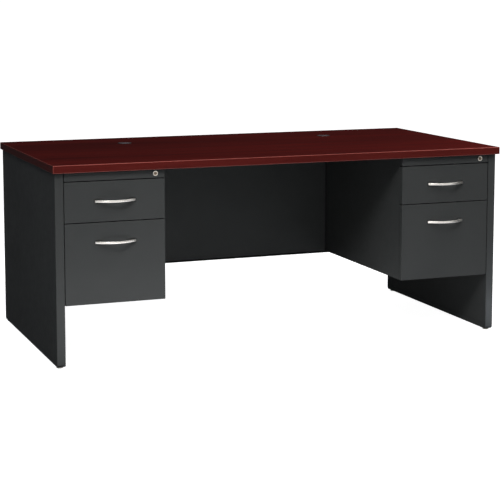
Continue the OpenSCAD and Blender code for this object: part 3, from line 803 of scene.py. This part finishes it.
def grommet_sleeves():
    """Turned sleeve with a rolled flange and an inner ledge that the cap turns on."""
    low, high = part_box("grommet_sleeves")
    outer = (high.y - low.y) / MM / 2
    top = (high.z - low.z) / MM - SLEEVE_DEPTH
    hole, inner = SLEEVE_HOLE, SLEEVE_HOLE - SLEEVE_WALL
    profile = [(inner, -SLEEVE_DEPTH), (hole - 0.5, -SLEEVE_DEPTH), (hole, 0.5 - SLEEVE_DEPTH)]
    profile += [(hole, -1.1), (outer, -1.1), (outer, 0.2)]
    profile += arc_points(outer - 1.1, top - 1.1, 1.1, 10.0, 90.0, 6)
    profile += arc_points(inner + 0.6, top - 0.6, 0.6, 90.0, 180.0, 5)
    profile += [(inner, -2.2), (inner - 1.7, -2.2), (inner - 1.9, -2.4)]
    profile += [(inner - 1.9, -3.6), (inner, -3.6)]
    for side in SIDES:
        cap_x, _, _ = middle_of(*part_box(f"{side}_grommet_cap"))
        centre = (cap_x, (low.y + high.y) / 2, high.z - top * MM)
        turned(f"{side}_grommet_sleeve", profile, centre, "Z", "grommet_sleeves")


def levelling_glide(node):
    """Domed foot with a rolled rim on a stem cut with ring grooves for its thread."""
    low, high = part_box(node)
    rim = (high.x - low.x) / MM / 2
    tall = (high.z - low.z) / MM
    profile = [(rim - 1.2, 0.0)] + arc_points(rim - 1.0, 1.0, 1.0, -80.0, 0.0, 5)
    profile += arc_points(rim - 1.4, 2.4, 1.4, 0.0, 60.0, 5)
    profile += [(8.0, 4.9), (7.6, STEM_START), (STEM, STEM_START)]
    turns = int((tall - THREAD_START - PLAIN_END) / THREAD_PITCH)
    for t in range(turns):
        z = THREAD_START + THREAD_PITCH * t
        profile += [(STEM, z), (STEM - THREAD_DEPTH, z + 0.5 * THREAD_PITCH)]
    profile += [(STEM, THREAD_START + THREAD_PITCH * turns), (STEM - 0.6, tall)]
    centre = ((low.x + high.x) / 2, (low.y + high.y) / 2, low.z)
    turned(node + "_turned", profile, centre, "Z", node, around=32, keep_sharp_over=30.0, hollow=False)


lock_bezels()
grommet_sleeves()
for side in SIDES:
    for end in ("front", "rear"):
        levelling_glide(f"{side}_{end}_glide")


# ---------------------------------------------------------------- carried-over CAD nodes
WELD_WITHIN = 0.01 * MM
SOFTENED_FROM = math.radians(38)
SOFT_EDGES = {"lock_plug": 0.35 * MM, "grommet_cap": 0.5 * MM, "pencil_tray": 0.7 * MM}
LOOKS = {"lock_plug": "lock_plug", "grommet_cap": "cap_plastic"}

for name, node in NODES.items():
    if node.hide_render:
        continue
    kind = name.partition("_")[2]
    node.data.materials.clear()
    node.data.materials.append(MATERIALS[LOOKS.get(kind, SLOT_OF[name])])
    weld = node.modifiers.new("weld", "WELD")
    weld.merge_threshold = WELD_WITHIN
    if kind in SOFT_EDGES:
        bevel = node.modifiers.new("soft edges", "BEVEL")
        bevel.width = SOFT_EDGES[kind]
        bevel.segments = 3
        bevel.limit_method = "ANGLE"
        bevel.angle_limit = SOFTENED_FROM
        bevel.use_clamp_overlap = True


# ---------------------------------------------------------------- stage
RAY_KINDS = ("camera", "diffuse", "glossy", "transmission", "shadow")
STAGE_NAMES = ("floor", "bounce", "near", "far", "sill", "backdrop")
BACKDROP_RADIUS = 80.0


def plain(name, colour, glow=0.0):
    """A matt colour that may glow."""
    s = Shader(name)
    return s.finish(Base_Color=colour, Roughness=0.9, Emission_Color=colour, Emission_Strength=glow)


def staged(name, bm, z, material, seen_by):
    """Links a bmesh as a part of the stage that only these kinds of ray meet."""
    mesh = bpy.data.meshes.new(name)
    bm.to_mesh(mesh)
    bm.free()
    mesh.materials.append(material)
    made = bpy.data.objects.new(name, mesh)
    made.location.z = z
    scene.collection.objects.link(made)
    made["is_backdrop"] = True
    for kind in RAY_KINDS:
        setattr(made, f"visible_{kind}", kind in seen_by)
    return made


def floor_plane(name, x_range, y_range, z, material, seen_by):
    """A level rectangle of the stage."""
    bm = bmesh.new()
    corners = [(x_range[i], y_range[j]) for i, j in ((0, 0), (1, 0), (1, 1), (0, 1))]
    bm.faces.new([bm.verts.new((x, y, 0.0)) for x, y in corners])
    return staged(name, bm, z, material, seen_by)


ON_CAMERA = ("camera",)
ON_SURFACES = ("diffuse", "transmission", "shadow")
IN_REFLECTIONS = ("glossy", "transmission")

floor_white = plain("floor white", (0.90, 0.90, 0.90), 1.07)
bounce_pale = plain("bounce pale", (0.40, 0.41, 0.43))
near_white = plain("near white", (0.97, 0.98, 1.0), 0.9)
far_white = plain("far white", (1.0, 0.98, 0.95), 0.9)
sill_white = plain("sill white", (0.93, 0.96, 1.0), 1.4)
shown_floor = floor_plane("floor", (-50.0, 50.0), (-50.0, 50.0), -0.2 * MM, floor_white, ON_CAMERA)
floor_plane("bounce", (-8.0, 8.0), (-8.0, 8.0), -2.0 * MM, bounce_pale, ON_SURFACES)
floor_plane("near", (-3.0, 1.7), (-2.0, -0.5), -3.0 * MM, near_white, IN_REFLECTIONS)
far_floor = floor_plane("far", (-9.0, 2.0), (-9.0, -2.0), -3.0 * MM, far_white, IN_REFLECTIONS)
floor_plane("sill", (-3.0, 1.7), (-1.3, -0.5), -2.5 * MM, sill_white, IN_REFLECTIONS)

ball = bmesh.new()
bmesh.ops.create_icosphere(ball, subdivisions=4, radius=BACKDROP_RADIUS)
staged("backdrop", ball, 0.0, plain("backdrop white", (1.0, 1.0, 1.0), 1.0), ON_CAMERA)

world = bpy.data.worlds.new("world")
scene.world = world
world.use_nodes = True
room_light = world.node_tree.nodes["Background"].inputs
room_light["Color"].default_value = (0.94, 0.97, 1.0, 1.0)
room_light["Strength"].default_value = 0.050


# ---------------------------------------------------------------- lights
WHITE = (1.0, 1.0, 1.0)
PALE_BLUE = (0.82, 0.89, 1.0)
BLUE = (0.62, 0.78, 1.0)
SUN_POWER = 0.4
SUN_SPREAD = math.radians(170)


def light_group(name, wanted):
    """The shown meshes that a light is kept to, chosen by their names."""
    group = bpy.data.collections.new(name)
    for made in scene.objects:
        if made.type == "MESH" and not made.hide_render and wanted(made.name):
            group.objects.link(made)
    return group


def softbox(name, where, at, size, power, colour=WHITE, only=None):
    """A rectangular light of that power in watts, facing a point. only: the group it is kept to."""
    data = bpy.data.lights.new(name, "AREA")
    data.shape = "RECTANGLE"
    data.size, data.size_y = size
    data.energy = power
    data.color = colour
    made = bpy.data.objects.new(name, data)
    made.location = where
    made.rotation_euler = (Vector(at) - Vector(where)).to_track_quat("-Z", "Y").to_euler()
    scene.collection.objects.link(made)
    if only:
        made.light_linking.receiver_collection = only


def is_rear_steel(name):
    """Everything but the stage and the parts that the rear lights would bleach."""
    return not (
        name.startswith(("worksurface", "edge_banding", *STAGE_NAMES))
        or any(word in name for word in ("grommet", "_pull", "_lock_"))
    )


bright_ends = ("_pull_bow", "_lock_bezel", "_lock_plug")
bright_metal = light_group("bright metal", lambda name: name.endswith(bright_ends))
right_panel = light_group("right panel", lambda name: name == "right_end_skin")
work_surface = light_group("work surface", lambda name: name.startswith("worksurface"))
rear_steel = light_group("rear steel", is_rear_steel)
floor_only = light_group("floor only", lambda name: name == shown_floor.name)

far_floor.light_linking.receiver_collection = bright_metal

softbox("key", (-2.6, -4.0, 4.2), (0.0, 0.0, 0.45), (1.2, 1.2), 138)
softbox("key fill", (-1.6, -4.7, 3.9), (0.0, 0.0, 0.45), (1.3, 1.2), 29)
softbox("top", (0.0, -2.2, 3.6), (0.0, 0.0, 0.7), (3.0, 1.5), 62)
softbox("right", (2.4, -1.0, 3.2), (0.3, 0.0, 0.7), (1.6, 1.6), 32)
softbox("front right", (2.8, -4.0, 1.6), (0.0, 0.0, 0.4), (1.5, 1.2), 8)
softbox("low centre", (-0.35, -1.6, 0.06), (-0.15, -0.2, 0.35), (0.8, 0.5), 0.7)
softbox("low inner", (0.34, -0.39, 0.03), (0.50, -0.34, 0.26), (0.2, 0.15), 0.42)
softbox("low near", (-0.50, -0.95, 0.03), (-0.50, -0.43, 0.24), (1.3, 0.25), 1.8)
softbox("low right", (1.00, -0.66, 0.02), (0.89, -0.44, 0.06), (0.3, 0.1), 0.42, PALE_BLUE, right_panel)
softbox("left cool", (-4.4, -0.6, 1.6), (-0.9, 0.0, 0.4), (2.0, 1.5), 5.0, BLUE)
softbox("top right", (1.6, -0.9, 1.5), (0.8, -0.3, 0.75), (0.6, 0.6), 20, only=work_surface)
softbox("rear", (1.8, 4.6, 1.3), (0.0, 0.4, 0.4), (2.0, 1.2), 120, only=rear_steel)
softbox("side right", (4.6, 1.3, 1.2), (0.9, 0.0, 0.35), (1.6, 1.2), 75, only=rear_steel)

sun_data = bpy.data.lights.new("floor light", "SUN")
sun_data.energy = SUN_POWER
sun_data.angle = SUN_SPREAD
sun = bpy.data.objects.new("floor light", sun_data)
scene.collection.objects.link(sun)
sun.light_linking.receiver_collection = floor_only

low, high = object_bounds()
